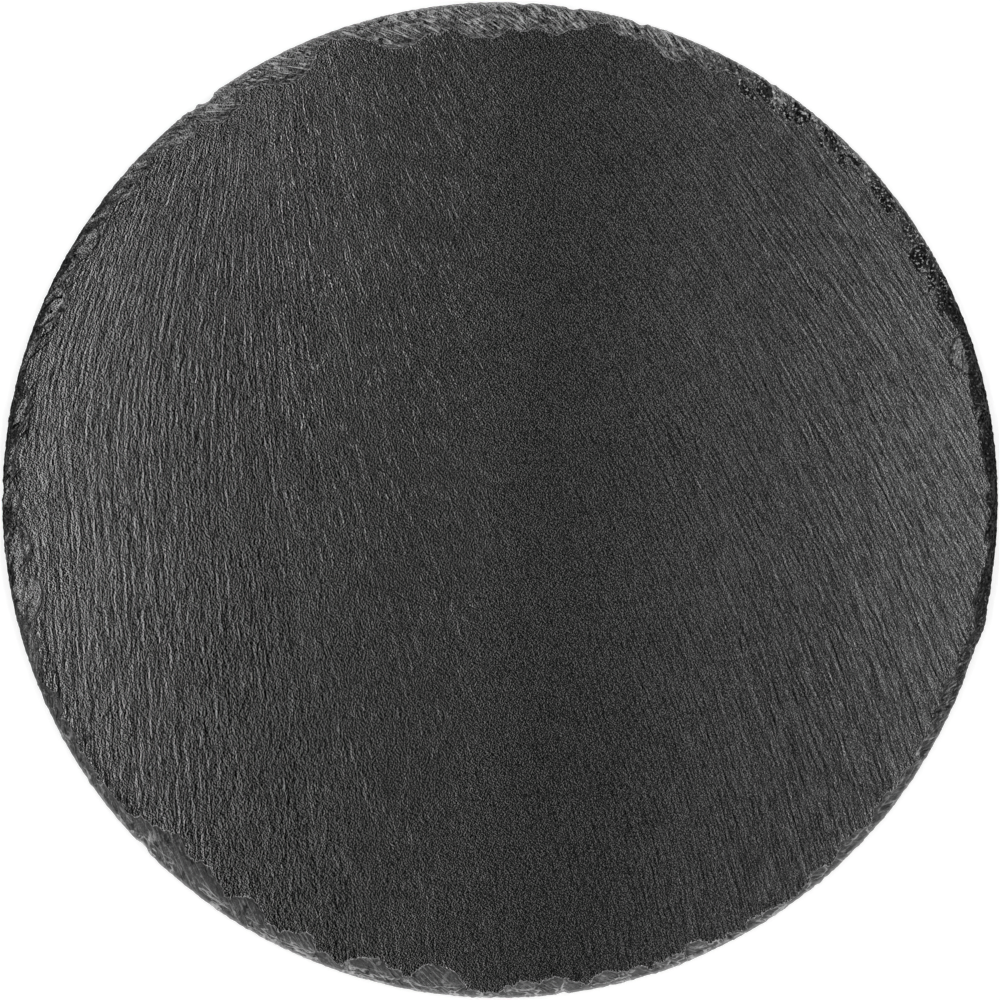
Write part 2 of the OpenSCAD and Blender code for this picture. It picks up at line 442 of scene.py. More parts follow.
def reliefTree():
    tree = bpy.data.node_groups.new("slateRelief", "GeometryNodeTree")
    addInputs(tree, {"Geometry": "Geometry", **slateRelief, "Stone": "Object", "Slate": "Material",
                     "Top": stoneHigh.z, "Base": stoneLow.z, "Seed": 7.0})
    tree.interface.new_socket(name="Geometry", in_out="OUTPUT", socket_type="NodeSocketGeometry")
    net, zone = Net(tree), SimpleNamespace(**reliefZones)
    given = net.add("NodeGroupInput").outputs

    def attribute(name):
        return net.make("GeometryNodeInputNamedAttribute", {"Name": name}, data_type="FLOAT")

    place = net.make("GeometryNodeInputPosition")
    px, py, _ = net.split(place)
    flat = net.combine(px, py, given["Seed"])
    radius = net.length(net.combine(px, py))
    share, outline, under = attribute("share"), attribute("outline"), attribute("under")
    across, along = attribute("across"), attribute("along")
    seeded = net.vector("ADD", flat, net.combine(0.0, 0.0, given["Seed"]))

    # how layered the break is: smooth, even scars along the front of the stone
    front = net.over(net.plus(net.times(px, given["Front X"]), net.times(py, given["Front Y"])), radius)
    layered = net.ramp(front, *zone.smoothBreak, 1.0, zone.leastLayered)

    # scar depth, looked up a little to one side
    def aside(size, grain, reach):
        moved = net.vector("MULTIPLY", net.stray(seeded, size, *grain), net.combine(2.0, 2.0, 0.0))
        return net.vector("SCALE", moved, scale=reach)

    sweep = net.times(given["Front Warp"], net.ramp(layered, *zone.evenSweep, 1.0, zone.leastSweep))
    moved = net.vector("ADD", aside(given["Warp Size"], grains.worn, given["Scar Warp"]),
                       aside(given["Front Size"], grains.ragged, sweep))
    probe = net.vector("ADD", net.combine(px, py), moved)
    limit = net.over(net.minus(outline, given["Probe Inset"]), net.length(probe))
    probe = net.vector("SCALE", probe, scale=net.least(limit, 1.0))
    above = net.vector("ADD", probe, net.combine(0.0, 0.0, net.plus(given["Top"], given["Probe Rise"])))
    stoneShape = net.add("GeometryNodeObjectInfo", {"Object": given["Stone"]}).outputs["Geometry"]
    feeds = {"Target Geometry": stoneShape, "Source Position": above, "Ray Direction": (0.0, 0.0, -1.0),
             "Ray Length": given["Probe Length"]}
    ray = net.add("GeometryNodeRaycast", feeds)
    hitZ = net.split(ray.outputs["Hit Position"])[2]
    lipZ = net.plus(given["Base"], given["Lip"])
    surface = net.make("GeometryNodeSwitch", {"Switch": ray.outputs["Is Hit"], "False": lipZ, "True": hitZ},
                       input_type="FLOAT")
    depth = net.minus(given["Top"], surface)
    broken = net.ramp(depth, *zone.broken)

    # laminae: the depth is stepped, with ragged edges
    jag = net.times(net.centred(net.noise(seeded, given["Jag Size"], *grains.ragged)),
                    net.times(given["Lamina Jag"], 2.0))
    ragged = net.plus(depth, net.times(jag, net.times(broken, layered)))
    level = net.over(ragged, given["Lamina"])
    part = net.math("FRACT", level)
    step = net.ramp(part, *zone.laminaStep)
    stepped = net.times(net.plus(net.math("FLOOR", level), step), given["Lamina"])
    layeredDepth = net.mix(net.times(layered, zone.mostStepped), ragged, stepped)

    # crumbled fracture inside the scars
    crumbs = net.noise(seeded, given["Crumble Size"], *grains.crumbly)
    crumble = net.times(net.centred(crumbs), given["Crumble"])
    even = net.ramp(layered, *zone.evenCrumble, zone.leastCrumble, 1.0)
    crumble = net.times(crumble, net.times(broken, even))

    # ripples of the riven face, long along the grain
    fingers = net.combine(net.over(across, given["Finger Pitch"]), net.over(along, given["Finger Length"]),
                          given["Seed"])
    drift = net.times(net.centred(net.noise(fingers, None, *grains.ragged)), given["Finger Drift"])
    strength = streakStrength(net, net.plus(px, drift))
    narrow = net.combine(net.over(across, given["Ripple Pitch"]),
                         net.over(along, given["Ripple Length"]), given["Seed"])
    wide = net.combine(net.over(across, net.times(given["Ripple Pitch"], zone.widePitch)),
                       net.over(along, net.times(given["Ripple Length"], zone.wideLength)), zone.wideSeed)
    ripples = net.plus(net.times(net.noise(narrow, None, *grains.soft), zone.narrowShare),
                       net.times(net.noise(wide, None, *grains.plain), zone.wideShare))
    ripples = net.times(ripples, net.times(given["Ripple"], strength))
    ripples = net.times(ripples, net.ramp(broken, 0.0, 1.0, 1.0, zone.brokenRipple))
    swell = net.times(net.noise(seeded, given["Swell Size"], *grains.rolling), given["Swell"])

    down = net.plus(net.plus(layeredDepth, crumble), net.plus(ripples, swell))
    deepest = net.minus(net.minus(given["Top"], given["Base"]), given["Least Stone"])
    down = net.least(net.most(down, given["Least Depth"]), deepest)
    topZ = net.minus(given["Top"], down)
    newZ = net.mix(share, given["Base"], topZ)
    underside = net.times(net.noise(seeded, given["Under Size"], *grains.calm), given["Under Relief"])
    newZ = net.plus(newZ, net.times(underside, under))

    # worn outline and layered wall, always inwards
    nearEdge = net.ramp(net.minus(outline, radius), *zone.nearEdge)
    wear = net.times(net.noise(seeded, given["Wear Size"], *grains.worn), given["Edge Wear"])
    layers = net.combine(net.times(px, given["Wall Scale"]), net.times(py, given["Wall Scale"]),
                         net.times(share, given["Wall Layers"]))
    wallPart = net.times(share, net.rest(share))
    wallPart = net.times(wallPart, zone.wallStrength, given["Wall Grain"])
    wallIn = net.times(net.noise(layers, None, *grains.ragged), wallPart)
    inwards = net.times(net.plus(wear, wallIn), nearEdge)
    keep = net.rest(net.over(inwards, net.most(radius, zone.leastRadius)))
    settled = net.combine(net.times(px, keep), net.times(py, keep), newZ)

    wall = net.ramp(share, *zone.wall)
    brokenAll = net.most(broken, net.times(wall, net.rest(under)))
    flatness = net.split(ray.outputs["Hit Normal"])[2]
    shape = given["Geometry"]
    for name, value in (("broken", brokenAll), ("level", net.times(level, share)), ("layered", layered),
                        ("plate", net.ramp(flatness, *zone.plate)), ("streaky", strength)):
        feeds = {"Geometry": shape, "Name": name, "Value": value}
        shape = net.make("GeometryNodeStoreNamedAttribute", feeds, data_type="FLOAT", domain="POINT")
    shape = net.make("GeometryNodeSetPosition", {"Geometry": shape, "Position": settled})
    rough = net.times(attribute("broken"), layered)
    even = net.make("FunctionNodeCompare", {"A": rough, "B": 0.5}, data_type="FLOAT", operation="LESS_THAN")
    shape = net.make("GeometryNodeSetShadeSmooth", {"Geometry": shape, "Shade Smooth": even})
    shape = net.make("GeometryNodeRealizeInstances", {"Geometry": shape})
    shape = net.make("GeometryNodeSetMaterial", {"Geometry": shape, "Material": given["Slate"]})
    net.add("NodeGroupOutput", {"Geometry": shape})
    return tree


def baked(obj, tree, values):
    made = obj.modifiers.new("relief", "NODES")
    made.node_group = tree
    sockets = {s.name: s.identifier for s in tree.interface.items_tree if s.in_out == "INPUT"}
    for name, value in values.items():
        made[sockets[name]] = value
    result = bpy.data.meshes.new_from_object(obj.evaluated_get(bpy.context.evaluated_depsgraph_get()))
    obj.modifiers.remove(made)
    return result


# surface groups

def shaderGroup(name, inputs, outputs):
    tree = bpy.data.node_groups.new(name, "ShaderNodeTree")
    addInputs(tree, inputs)
    for key in outputs:
        tree.interface.new_socket(name=key, in_out="OUTPUT", socket_type="NodeSocketFloat")
    net = Net(tree)
    return net, net.add("NodeGroupInput").outputs


groupLook = {
    "streakSpin": (0.9, 0.65, 0.5),           # turns a noise so that none of its planes shows
    "chipLean": -0.8, "strataTurn": 0.5, "strataLift": 0.35,
    "plateStray": 0.0026,
}


def streakGroup():
    # height of one set of streaks, and its rise from one side of a point to the other
    inputs = {"Across": 0.0, "Along": 0.0, "Pitch": 0.001, "Length": 0.006, "Reach": 0.0003, "Seed": 0.0}
    net, given = shaderGroup("stoneStreaks", inputs, ["Height", "Rise"])
    along = net.over(given["Along"], given["Length"])
    sides = []
    for operation in ("SUBTRACT", "ADD"):
        across = net.over(net.math(operation, given["Across"], given["Reach"]), given["Pitch"])
        place = net.make("ShaderNodeVectorRotate", {"Vector": net.combine(across, along, given["Seed"]),
                                                    "Rotation": groupLook["streakSpin"]},
                         rotation_type="EULER_XYZ")
        sides.append(net.noise(place, None, *grains.plain))
    height = net.times(net.plus(*sides), 0.5)
    net.add("NodeGroupOutput", {"Height": height, "Rise": net.minus(sides[1], sides[0])})
    return net.tree


def fractureGroup():
    # broken stone as side light shows it: chips, and strata that leave the rim as they go round
    inputs = {"Place": "Vector", "Chip": 0.001, "Stratum": 0.004, "Reach": 0.0003, "Climb": 0.7}
    net, given = shaderGroup("brokenStone", inputs, ["Chips", "Strata", "Depth"])
    x, y, z = net.split(given["Place"])
    radius = net.length(net.combine(x, y))
    rim = net.combine(net.times(net.over(x, radius), stoneRadius),
                      net.times(net.over(y, radius), stoneRadius))
    climbed = net.over(net.minus(stoneRadius, radius), net.times(given["Climb"], stoneRadius))
    chips, strata = [], []
    for operation in ("SUBTRACT", "ADD"):
        shift = net.math(operation, 0.0, given["Reach"])
        aside = net.combine(shift, net.times(shift, groupLook["chipLean"]))
        chips.append(net.noise(net.vector("ADD", given["Place"], aside), given["Chip"], *grains.chipped))
        turn = net.plus(climbed, net.over(shift, stoneRadius * groupLook["strataTurn"]))
        lift = net.times(radius, groupLook["strataLift"])
        spun = net.vector("ADD", net.turned(rim, turn), net.combine(0.0, 0.0, lift))
        strata.append(net.noise(spun, given["Stratum"], *grains.split))
    net.add("NodeGroupOutput", {"Chips": net.minus(chips[1], chips[0]),
                                "Strata": net.minus(strata[1], strata[0]), "Depth": strata[0]})
    return net.tree


def plateGroup():
    # plates and flakes of broken stone: the tone and the make of each, and its rise over its neighbour
    inputs = {"Place": "Vector", "Size": 0.004, "Stretch": 0.35, "Stray": 0.0008, "Reach": 0.0003,
              "Climb": 0.7}
    net, given = shaderGroup("stonePlates", inputs, ["Tone", "Make", "Rise"])
    stray = net.vector("SCALE", net.stray(given["Place"], groupLook["plateStray"], *grains.gritty),
                       scale=net.times(given["Stray"], 2.0))
    x, y, z = net.split(net.vector("ADD", given["Place"], stray))
    radius = net.length(net.combine(x, y))
    toRim = net.over(stoneRadius, radius)
    rim = net.combine(net.times(x, toRim), net.times(y, toRim))
    climbed = net.over(net.minus(stoneRadius, radius), net.times(given["Climb"], stoneRadius))
    cells = []
    for operation in ("SUBTRACT", "ADD"):
        shift = net.math(operation, 0.0, given["Reach"])
        turn = net.plus(climbed, net.over(shift, stoneRadius))
        lift = net.times(net.plus(radius, shift), given["Stretch"])
        spun = net.vector("ADD", net.turned(rim, turn), net.combine(0.0, 0.0, lift))
        colour = net.add("ShaderNodeTexVoronoi", {"Vector": spun, "Scale": net.over(1.0, given["Size"])})
        cells.append(net.split(colour.outputs["Color"]))
    net.add("NodeGroupOutput", {"Tone": cells[0][0], "Make": cells[0][1],
                                "Rise": net.minus(cells[1][0], cells[0][0])})
    return net.tree


def speckGroup():
    net, given = shaderGroup("fineSpeck", {"Vector": "Vector", "Size": 0.0006, "Seed": 0.0}, ["Speck"])
    place = net.vector("ADD", given["Vector"], net.combine(given["Seed"], 0.0, given["Seed"]))
    net.add("NodeGroupOutput", {"Speck": net.noise(place, given["Size"], *grains.speckled)})
    return net.tree


def newMaterial(name):
    material = bpy.data.materials.new(name)
    material.use_nodes = True
    material.node_tree.nodes.clear()
    return material, Net(material.node_tree)


def addSurface(net, tints, roughness, height, **others):
    colour = net.make("ShaderNodeCombineColor", dict(enumerate(tints)))
    bump = net.make("ShaderNodeBump", {"Strength": 1.0, "Distance": 1.0, "Height": height})
    surface = net.make("ShaderNodeBsdfPrincipled", {"Base Color": colour, "Roughness": roughness,
                                                    "Normal": bump, **others})
    net.add("ShaderNodeOutputMaterial", {"Surface": surface})


slateLook = {
    # streaks of the riven face: how strongly each kind shows, and on which side
    "fleckShare": 11.5, "bodyShare": 11, "dashShare": 11, "longShare": 4.2, "runShare": 1.9, "lineShare": 8,
    "seamShare": 0.9, "threadShare": 2.6, "crackShare": 0.6, "mottleShare": 0.7, "sparkShare": 0.6,
    "crestShare": 0.2,        # of the lines' crests; their furrows show in full
    "leftFleck": 2.0, "midFleck": 0.75, "rightFleck": 0.85, "leastDash": 0.25, "rightKeep": 0.5,
    "rightCrest": 0.75, "frontThread": 0.4, "rimCalm": 0.55, "mostTone": 5.0,
    "fleckLean": 11.0,        # degrees
    "cornerFade": 1.1, "flankFade": 0.8, "scarpFade": 0.4,      # of a width, to where an edge fades
    "seamWidth": 0.7, "threadWidth": 0.65, "crackWidth": 0.85,
    "mottleSize": 0.006, "sparkSize": 0.0005,
    "wander": 0.0006, "wanderSize": 0.0045,
    "reach": 0.0002,          # half the distance over which a streak's rise is taken
    "streakBump": 0.00012, "runBump": 1.5,
    # painted shade and sheen on the face: how much darker it gets towards the middle, the fan and the front,
    # and lighter at the left
    "middleDrop": 0.90, "fanDrop": 0.50, "leftRise": 0.28, "frontDrop": 0.15, "rightDrop": -0.05,
    # dull share of the colour, and the gleaming share of its mica
    "faceTone": 0.018, "mica": 0.045, "micaPower": 0.75, "roughness": 0.29, "gloss": 0.05,
    "plateMica": 0.08, "darkMica": 0.006, "breakMica": 0.037, "mostMica": 3.0,
    "plateRough": 0.42, "stepRough": 0.6,
    # tones of the broken rim
    "darkBreak": 0.009,       # outer flank, in shadow
    "plateBreak": 0.042,      # level plates on the flanks
    "lightBreak": 0.045,      # fracture at the back of the stone
    "smoothBreak": 0.044,     # smooth fracture along the front
    "frontLeft": 0.82, "innerTone": 0.43, "outerTone": 1.15, "leastGrit": 0.85, "mostGrit": 1.15,
    # bands of the rim: the dark one on each flank, painted shade, and the break that spreads at the far
    # right corner
    "flankWidth": 0.0032, "bandStep": 0.005, "bandJag": 0.003, "levelJag": 0.3,
    "darkWidth": 0.0036, "darkMore": 0.0012, "darkStray": 0.3,
    "cornerWidth": 0.0045, "cornerStep": 0.008, "rugged": 1.8,
    # chips, strata, plates and flakes of the break, their relief painted into the tone as shading
    "chip": 0.0006, "chipShare": 7, "stratum": 0.0020, "strataShare": 3, "bench": 0.0055,
    "plate": 0.0045, "plateReach": 0.00022, "plateShare": 2.0,
    "flake": 0.0016, "flakeReach": 0.00018, "flakeShare": 1.6,
    "climb": 0.7, "leftClimb": 0.42,      # how fast the strata leave the rim
    "stretch": 1.0, "stray": 0.0006,
    # painted light and shade on the edges of plates, by the way they face
    "sideUp": 1.5, "sideDown": 4.0, "endUp": 4.0, "endDown": 4.0,      # light and dark edges of plates
    "leastFlaky": 0.25, "patchShare": 0.5, "leastBroken": 0.2, "fineBreak": 0.75, "frontFine": 0.25,
    "rightChisel": 0.4, "chiselDrop": 0.1, "mostChisel": 4.0,
    # painted shade in dark crevices between the plates on the left, with the face lighter beside them;
    # painted shade in hollows and pockets of the break
    "creviceWidth": 0.8, "crackStep": 0.22, "creviceDark": 0.97, "rimLift": 1.3,
    "hollow": 0.85, "leftHollow": 0.62, "rightHollow": 0.30, "sidePocket": 0.3, "endPocket": 0.35,
    # pale lines of the break, shown only where it faces the light and partly painted highlight: edges of the
    # laminae, veins, and crests along the outer edge in front
    "paleEdge": 0.30, "edgeShare": 0.35, "edgePart": 0.30, "gapPart": 0.46,
    "stepWindow": 0.24, "plateWindow": 0.08,
    "veinWidth": 0.5, "veinStep": 0.8, "thinStep": 0.5, "patchSize": 0.005, "frontVein": 0.3,
    "crest": 0.3, "ridgeSize": 0.012, "ridgeRise": 7.0, "ridgeTwist": 0.15,
    # painted glints, and a painted highlight on the brink where it faces the light
    "glitter": 0.16, "glitterSize": 0.00075, "layerGlitter": 0.5, "powder": 0.6, "brink": 0.15,
    # painted highlight and shadow along the scarps, and painted shadow in the gaps between laminae
    "scarp": 0.30, "scarpWidth": 0.15, "scarpSize": 0.007, "cleft": 0.75, "sideGap": 0.5, "endGap": 0.35,
    # roughness of the break and its relief
    "jag": 0.30, "jagSize": 0.0011, "gritSize": 0.0011,
    "grit": 0.00024, "frontGrit": 0.2, "ridge": 0.00018, "laminaBump": 0.0004,
}

streakKinds = {               # pitch across the grain, length along it, and seed
    "fleck": (0.00027, 0.0004, 13.0), "dash": (0.00046, 0.0022, 4.0), "long": (0.0008, 0.0055, 2.0),
    "run": (0.0013, 0.020, 9.0), "line": (0.0008, 0.009, 17.0), "thread": (0.0022, 0.022, 31.0),
    "seam": (0.0017, 0.012, 25.0), "crack": (0.0024, 0.012, 21.0),
}

faceShares = {                # where a look of the face starts and is in full, in radii from the middle
    "fleck": (-0.45, 0.3), "rightFleck": (0.25, 0.6), "rightward": (-0.25, 0.35), "calm": (0.15, 0.55),
    "threadSide": (0.10, -0.15), "threadFront": (-0.5, 0.4), "seamSide": (0.15, 0.7),
    "middleDrop": (0.0, 0.5), "fanDrop": (-0.02, -0.25), "leftRise": (-0.45, -0.85),
    "frontDrop": (-0.1, -0.6),
}

slateZones = {
    # round the rim, by the X or Y part of the way out from the middle
    "leftSide": (-0.55, -0.85), "leftClimb": (-0.45, -0.85), "middle": (-0.2, 0.2), "rightEnd": (0.6, 0.9),
    "cornerX": (0.30, 0.55), "cornerY": (0.30, 0.50), "back": (0.5, 0.92), "front": (-0.12, -0.62),
    "darkSide": (0.78, 0.92), "darkMore": (0.02, 0.12), "hollowSide": (0.62, 0.78),
    "frontFine": (-0.6, -0.2), "frontLeftX": (-0.1, -0.45), "frontLeftY": (0.0, -0.3),
    # in from the outline
    "cracked": (0.0100, 0.0060), "weathered": (0.010, 0.001), "outer": (0.0052, 0.0022),
    "brink": (0.0016, 0.0006),
    # in the value of a noise, a streak or an attribute
    "dash": (0.3, 0.8), "spark": (0.66, 0.80), "thread": (0.47, 0.54), "threadStreak": (0.95, 0.75),
    "seam": (0.40, 0.5), "crack": (0.44, 0.5), "crackStreak": (0.55, 0.85), "crevice": (0.46, 0.52),
    "brokenEdge": (0.42, 0.58), "flaky": (0.35, 0.65), "layered": (0.15, 1.0), "hollow": (0.0, 0.04),
    "rightBand": (1.1, 1.3), "grit": (0.3, 0.7), "pocket": (0.49, 0.46), "tread": (0.30, 0.55),
    "edge": (1.0, 0.3), "gap": (1.0, 0.5), "gritEdge": (0.44, 0.6), "crest": (0.030, 0.008),
    "vein": (0.47, 0.52), "glitter": (0.57, 0.66), "scarp": (0.38, 0.46), "gritRelief": (0.1, 1.0),
    **{key: (start * stoneRadius, full * stoneRadius) for key, (start, full) in faceShares.items()},
}


def slateValues():
    return SimpleNamespace(**slateLook), SimpleNamespace(**slateZones)


def slatePlaces(net):
    # where a point of the stone lies, what the relief has stored there, and which part of the rim it is
    look, zone = slateValues()
    at = SimpleNamespace()
    for name in ("across", "along", "outline", "broken", "level", "layered", "plate", "streaky"):
        setattr(at, name, net.add("ShaderNodeAttribute", attribute_name=name).outputs["Fac"])
    at.place = net.add("ShaderNodeTexCoord").outputs["Object"]
    at.px, at.py, at.pz = net.split(at.place)
    at.radius = net.length(net.combine(at.px, at.py))
    at.outX, at.outY = net.over(at.px, at.radius), net.over(at.py, at.radius)
    at.inset = net.minus(at.outline, at.radius)
    at.leftSide = net.ramp(at.outX, *zone.leftSide)
    at.nearRim = net.times(at.leftSide, net.ramp(at.inset, *zone.cracked))
    at.lit = net.most(net.ramp(at.outY, *zone.back), net.ramp(at.outY, *zone.front))
    at.corner = net.times(net.ramp(at.outX, *zone.cornerX), net.ramp(at.outY, *zone.cornerY))
    at.climb = net.ramp(at.outX, *zone.leftClimb, look.climb, look.leftClimb)
    at.rugged = net.times(at.corner, look.rugged)
    at.jag = net.centred(net.noise(at.place, look.jagSize, *grains.jagged))
    at.grit = net.noise(at.place, look.gritSize, *grains.gritty)
    return at


def rivenFace(net, at, streaks):
    # tone follows the rise of the streaks, as side light on their relief does
    look, zone = slateValues()

    def streak(kind, across, along):
        pitch, length, seed = streakKinds[kind]
        feeds = {"Across": across, "Along": along, "Pitch": pitch, "Length": length,
                 "Reach": look.reach, "Seed": seed}
        made = net.group(streaks, feeds)
        return made["Height"], made["Rise"]

    leaning = net.split(net.turned(at.place, math.radians(-look.fleckLean)))
    made = {"fleck": streak("fleck", leaning[0], leaning[1])}
    waver = net.centred(net.noise(at.place, look.wanderSize, *grains.rolling))
    across = net.plus(at.across, net.times(waver, 2 * look.wander))
    for kind in ("dash", "long", "run", "line", "thread", "seam", "crack"):
        made[kind] = streak(kind, across, at.along)

    # flecks are everywhere, dashes and long streaks are on the left, and lines on the right
    fleck = net.times(look.fleckShare, net.ramp(at.px, *zone.fleck, look.leftFleck, look.midFleck))
    fine = net.times(made["fleck"][1], fleck, net.ramp(at.px, *zone.rightFleck, 1.0, look.rightFleck))
    body = net.ramp(at.px, *zone.rightFleck, look.bodyShare, look.bodyShare * look.rightFleck)
    fine = net.plus(fine, net.times(net.centred(made["fleck"][0]), body))
    total = fine
    rightward = net.ramp(at.px, *zone.rightward)
    leftward = net.times(at.streaky, net.ramp(rightward, 0.0, 1.0, 1.0, look.rightKeep))
    dashed = net.times(leftward, net.ramp(leftward, *zone.dash, look.leastDash, 1.0))
    for kind, side, share in (("dash", dashed, look.dashShare), ("long", leftward, look.longShare),
                              ("run", leftward, look.runShare)):
        total = net.plus(total, net.times(made[kind][1], net.times(side, share)))
    crests = net.times(net.most(made["line"][1], 0.0), look.crestShare)
    lines = net.times(net.plus(crests, net.least(made["line"][1], 0.0)), look.lineShare)
    total = net.plus(total, net.times(lines, net.times(at.streaky, rightward)))
    calm = net.ramp(at.px, *zone.calm, 1.0, look.rightCrest)
    total = net.plus(net.least(total, 0.0), net.times(net.most(total, 0.0), calm))
    mottle = net.centred(net.noise(at.place, look.mottleSize, *grains.worn))
    # sparks: painted glints, lighter specks of colour that also raise the mica's gleam
    spark = net.noise(at.place, look.sparkSize, *grains.single)
    total = net.plus(total, net.times(mottle, look.mottleShare),
                     net.ramp(spark, *zone.spark, 0.0, look.sparkShare))

    # thin lines: dark seams on the right, and light threads and dark cracks on the left; the dark seams and
    # cracks are painted shadow in their furrows
    seam = net.times(net.creases(*made["seam"], 0.0, look.seamWidth),
                     net.ramp(made["line"][0], *zone.seam),
                     net.ramp(at.px, *zone.seamSide, 0.0, look.seamShare))
    thread = net.times(net.creases(*made["thread"], 0.0, look.threadWidth),
                       net.ramp(made["long"][0], *zone.thread),
                       net.ramp(at.streaky, *zone.threadStreak, 0.0, look.threadShare),
                       net.ramp(at.px, *zone.threadSide),
                       net.ramp(at.py, *zone.threadFront, look.frontThread, 1.0))
    gate = net.times(net.ramp(made["long"][0], *zone.crack), net.ramp(leftward, *zone.crackStreak))
    dark = net.times(net.creases(*made["crack"], 0.0, look.crackWidth), gate, look.crackShare)
    total = net.times(net.minus(total, seam), net.ramp(at.nearRim, 0.0, 1.0, 1.0, look.rimCalm))

    # painted shade towards the middle, the fan and the front, and painted sheen at the left
    drop = net.ramp(at.px, *zone.middleDrop, look.middleDrop, look.rightDrop)
    drop = net.plus(drop, net.ramp(at.px, *zone.fanDrop, 0.0, look.fanDrop))
    drop = net.minus(drop, net.ramp(at.px, *zone.leftRise, 0.0, look.leftRise))
    drop = net.plus(drop, net.ramp(at.py, *zone.frontDrop, 0.0, look.frontDrop))
    tone = net.least(net.math("EXPONENT", net.minus(total, drop)), look.mostTone)
    tone = net.times(tone, net.minus(net.plus(1.0, thread), dark))
    height = net.plus(made["long"][0], net.times(made["run"][0], look.runBump))
    return tone, fine, net.times(height, at.streaky, look.streakBump)


def breakPieces(net, at, fracture, platework):
    # strata, plates and flakes of the rim, the crevices on the left, and how far in the break goes
    look, zone = slateValues()

    def broke(size):
        feeds = {"Place": at.place, "Chip": look.chip, "Stratum": size, "Reach": look.reach,
                 "Climb": at.climb}
        return net.group(fracture, feeds)

    def plated(size, reach):
        feeds = {"Place": at.place, "Size": size, "Stretch": look.stretch, "Stray": look.stray,
                 "Reach": reach, "Climb": at.climb}
        return net.group(platework, feeds)

    at.plates = plated(look.plate, look.plateReach)
    at.flakes = plated(look.flake, look.flakeReach)
    at.fineBreak, at.wideBreak = broke(look.stratum), broke(look.bench)
    # painted shade in the crevices between the plates on the left
    crevice = net.creases(at.wideBreak["Depth"], at.wideBreak["Strata"], 0.0, look.creviceWidth)
    crevice = net.times(crevice, net.ramp(at.fineBreak["Depth"], *zone.crevice))
    crack = net.ramp(net.size(at.plates["Rise"]), look.crackStep, look.crackStep * 2)
    at.crevice = net.times(net.most(crevice, crack), at.nearRim)

    uneven = net.times(net.centred(at.plates["Tone"]), look.cornerStep)
    spread = net.ramp(net.plus(at.inset, uneven), look.cornerWidth * look.cornerFade, look.cornerWidth)
    # painted shade: the dark band on the right flank
    darkInset = net.minus(at.inset, net.ramp(at.outY, *zone.darkMore, 0.0, look.darkMore))
    darkInset = net.plus(darkInset, net.times(uneven, look.darkStray))
    at.darkSide = net.times(net.ramp(darkInset, look.darkWidth * look.cornerFade, look.darkWidth),
                            net.ramp(at.outX, *zone.darkSide))
    at.broken = net.most(at.broken, net.times(spread, at.corner), at.darkSide)
    at.facing = net.most(at.lit, net.times(at.corner, net.rest(at.darkSide)))
    # painted shade in the dark hollows among the plates at the back right corner
    hollow = net.ramp(at.outX, *zone.hollowSide, look.leftHollow, look.rightHollow)
    hollow = net.ramp(net.minus(at.plates["Make"], hollow), *zone.hollow)
    at.hollow = net.times(hollow, net.times(at.corner, look.hollow))


def chiselledTone(net, at, fine):
    # the rim's tone as its chips, strata, plates and flakes change it: painted shading of their relief, with
    # tone that differs at random
    look, zone = slateValues()

    def edged(part, share):
        # light edges where a plate faces the light, dark ones where it faces away
        up = net.times(net.most(part["Rise"], 0.0), net.mix(at.facing, look.sideUp, look.endUp))
        down = net.times(net.least(part["Rise"], 0.0), net.mix(at.facing, look.sideDown, look.endDown))
        return net.times(net.plus(up, down), share)

    flaky = net.ramp(at.plates["Make"], *zone.flaky, look.leastFlaky, 1.0)
    total = net.plus(net.times(at.fineBreak["Chips"], look.chipShare),
                     net.times(at.fineBreak["Strata"], look.strataShare),
                     edged(at.flakes, look.flakeShare))
    finer = net.ramp(at.outY, *zone.frontFine, look.frontFine, look.fineBreak)
    total = net.plus(net.times(total, flaky), edged(at.plates, look.plateShare),
                     net.times(net.centred(at.plates["Tone"]), look.patchShare), net.times(fine, finer))
    worked = net.ramp(at.layered, *zone.layered, look.leastBroken, 1.0, smooth=False)
    total = net.times(total, net.most(worked, at.rugged),
                      net.ramp(at.outX, *zone.rightEnd, 1.0, look.rightChisel))
    tone = net.math("EXPONENT", net.minus(total, look.chiselDrop))
    # darker further in from the outline, only where the rim faces the light
    weathered = net.ramp(at.inset, *zone.weathered, look.innerTone, look.outerTone, smooth=False)
    return net.times(net.least(tone, look.mostChisel), net.mix(at.lit, 1.0, weathered))


def paleLines(net, at, part, window, ridges):
    # powdery edges of the laminae and veins at the back, and fine crests along the outer edge in front, only
    # where the break faces the light: partly paler powdery stone, partly painted highlight
    look, zone = slateValues()
    crest = net.times(net.ramp(net.size(net.centred(ridges)), *zone.crest), net.ramp(at.inset, *zone.outer))
    crest = net.times(crest, net.times(net.rest(at.layered), look.crest))
    thin = net.creases(at.fineBreak["Depth"], at.fineBreak["Strata"], look.thinStep, look.veinWidth)
    thin = net.times(thin, net.ramp(net.noise(at.place, look.patchSize, *grains.rolling), *zone.vein))
    vein = net.creases(at.wideBreak["Depth"], at.wideBreak["Strata"], look.veinStep, look.veinWidth)
    vein = net.times(net.most(vein, thin), net.ramp(at.layered, *zone.layered, look.frontVein, 1.0))
    edge = net.ramp(net.over(net.size(net.minus(part, look.edgePart)), window), *zone.edge)
    edge = net.times(edge, net.times(at.layered, look.edgeShare), net.ramp(at.grit, *zone.gritEdge))
    pale = net.times(net.most(edge, vein), look.paleEdge)
    return net.times(net.most(pale, crest), net.times(at.lit, net.rest(at.corner)))


